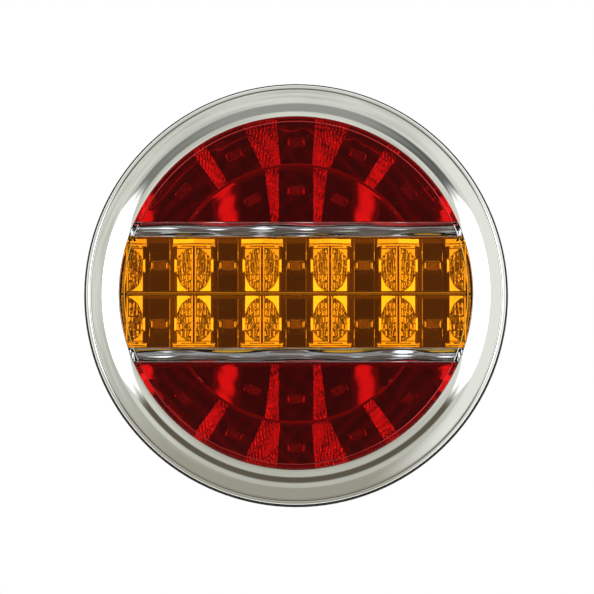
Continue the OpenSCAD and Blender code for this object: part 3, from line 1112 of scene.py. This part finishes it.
def nut(shapes, x, y, low, high, degrees):
    """A hexagonal nut with chamfered corners and a countersunk bore."""
    flats = 8.0
    lower = [(2.5, 0.35), (2.85, 0.0), (3.65, 0.0)]
    lower += [(hexagon(flats, limit), dz) for limit, dz in ((4.05, 0.18), (4.35, 0.38), (4.62, 0.7))]
    outline = [(r, low + dz) for r, dz in lower] + [(r, high - dz) for r, dz in reversed(lower)]
    loop(shapes, [moved(round_ring(r, z, 96), x, y, degrees) for r, z in outline])


def make_fixings():
    studs, nuts = Shapes(), Shapes()
    low, high = depth_range("stud_nuts")
    for side in (-1, 1):
        stud(studs, side * STUD_X, 0.0)
        nut(nuts, side * STUD_X, 0.0, low, high, 11.0 + 23.0 * side)
    piece("threaded_studs", studs, "zinc_steel", "mounting_studs", 35.0)
    piece("hexagon_nuts", nuts, "nut_steel", "stud_nuts", 20.0)


# ---- Camera, light and floor ----

def make_camera():
    """Nearly straight on, from a little below, with a long lens."""
    distance, elevation = 1.2, math.radians(-CAMERA_ANGLE)
    frame_width = 0.1961
    aim = at(0.3, -0.7, 18.5)
    away = Vector((0.0, -math.cos(elevation), math.sin(elevation)))
    data = bpy.data.cameras.new("camera")
    data.sensor_width = 36.0
    data.lens = data.sensor_width * distance / frame_width
    data.clip_end = 20.0
    camera = bpy.data.objects.new("camera", data)
    camera.location = aim + away * distance
    camera.rotation_euler = away.to_track_quat("Z", "Y").to_euler()
    bpy.context.scene.collection.objects.link(camera)
    bpy.context.scene.camera = camera


def direction_angles(n, direction):
    """Angles of a world direction in degrees: across from straight ahead of the lamp, and up
    from the line on which a flat front mirrors the camera."""
    split = n.add("SeparateXYZ")
    n.put(split.inputs[0], direction)
    x, y, z = split.outputs
    to_degrees = 180.0 / math.pi
    ahead = n.math("MULTIPLY", y, -1.0)
    across = n.math("MULTIPLY", n.math("ARCTAN2", x, ahead), to_degrees)
    level = n.math("MULTIPLY", n.math("ARCSINE", z), to_degrees)
    return x, y, across, n.math("SUBTRACT", level, CAMERA_ANGLE)


def make_world():
    """A pale studio, dark round the camera, with a soft light box on each side of it."""
    world = bpy.data.worlds.new("studio")
    bpy.context.scene.world = world
    world.use_nodes = True
    n = Nodes(world.node_tree)
    direction = n.add("TexCoord").outputs["Generated"]
    x, y, across, up = direction_angles(n, direction)
    wide, high = n.math("ABSOLUTE", across), n.math("ABSOLUTE", up)
    squares = n.math("ADD", n.math("POWER", wide, 2.0), n.math("POWER", high, 2.0))
    away = n.math("SQRT", squares)

    # the studio: cloudy above, darker below, brighter on the right and behind the lamp
    cloud = n.noise(2.4, 2.0, coords=direction)
    soft = n.mix(n.ramp(cloud, 0.35, 0.65), (0.58, 0.58, 0.53), (0.77, 0.77, 0.71))
    sky = n.mix(n.ramp(up, -60.0, -5.0), (0.37, 0.36, 0.30), soft)
    sky = n.mix(n.ramp(x, 0.35, 0.8), sky, (0.90, 0.90, 0.86))
    sky = n.mix(n.ramp(y, 0.45, 0.8), sky, (1.7, 1.7, 1.66))

    # the dark band round the camera, with a grey patch above it
    band = n.mix(n.ramp(across, -8.0, 8.0), (0.22, 0.22, 0.20), (0.12, 0.12, 0.115))
    band = n.mix(n.ramp(up, 2.0, -8.0), band, (0.12, 0.105, 0.075))
    above = n.math("MULTIPLY", n.ramp(up, 7.5, 10.5), n.ramp(wide, 17.0, 7.0))
    grey = n.mix(n.ramp(up, 13.0, 16.0), (0.50, 0.50, 0.47), (0.34, 0.34, 0.32))
    band = n.mix(above, band, grey)
    reach = n.ramp(up, -6.0, 8.0, 24.0, 26.5)
    sky = n.mix(n.ramp(n.math("SUBTRACT", away, reach), 1.5, -1.5), sky, band)

    # the camera's own dark surroundings, darkest in the middle
    core = n.mix(n.ramp(away, 1.0, 7.0), (0.085, 0.06, 0.055), (0.21, 0.15, 0.13))
    sky = n.mix(n.ramp(away, 13.0, 10.0), sky, core)

    # the light boxes, brighter at their far sides
    lean = n.math("SUBTRACT", wide, n.math("MULTIPLY", high, 0.83))
    box = n.math("MULTIPLY", n.ramp(lean, 6.0, 13.0), n.ramp(wide, 41.0, 38.0))
    box = n.math("MULTIPLY", box, n.ramp(high, 13.5, 11.5))
    lit = n.mix(n.ramp(wide, 30.0, 33.0), (1.9, 1.9, 1.9), (3.2, 3.2, 3.2))
    sky = n.mix(box, sky, lit)

    # the camera itself sees plain white
    shown = n.mix(n.add("LightPath").outputs["Is Camera Ray"], sky, (1.0, 1.0, 1.0))
    background = n.add("Background")
    n.put(background.inputs["Color"], shown)
    n.put(n.add("OutputWorld").inputs["Surface"], background.outputs[0])


def make_floor():
    """A round pale floor well below the lamp, which fades to white away from it. The lamp's
    mirrors and lenses don't show it, so they see the studio on every side."""
    data = bpy.data.meshes.new("studio_floor")
    disc = bmesh.new()
    bmesh.ops.create_circle(disc, cap_ends=True, segments=96, radius=2.4)
    disc.to_mesh(data)
    disc.free()
    floor = bpy.data.objects.new("studio_floor", data)
    floor.location = (0.0, 0.0, cad_box[0][2] - 0.09)
    bpy.context.scene.collection.objects.link(floor)
    material, n = new_material("floor_pale")
    tone = n.mix(n.ramp(n.noise(3.0), 0.3, 0.7), (0.90, 0.90, 0.89), (0.93, 0.93, 0.92))
    away = n.add("VectorMath", operation="LENGTH")
    n.put(away.inputs[0], n.add("TexCoord").outputs["Object"])
    far = n.ramp(away.outputs["Value"], 0.1, 1.5)
    fade = n.add("MixShader")
    n.put(fade.inputs[0], n.math("MULTIPLY", far, n.add("LightPath").outputs["Is Camera Ray"]))
    n.put(fade.inputs[1], n.shader(Base_Color=tone, Roughness=0.9).outputs[0])
    n.put(fade.inputs[2], n.add("Emission").outputs[0])
    n.finish(fade.outputs[0])
    data.materials.append(material)
    floor.visible_glossy = False
    floor.visible_transmission = False


# ---- Build ----

make_camera()
bpy.context.scene.view_settings.view_transform = "Standard"
dress_frame()
make_bezel()
make_lenses()
make_amber_reflector()
make_red_reflectors()
make_leds()
make_fixings()
make_world()
make_floor()
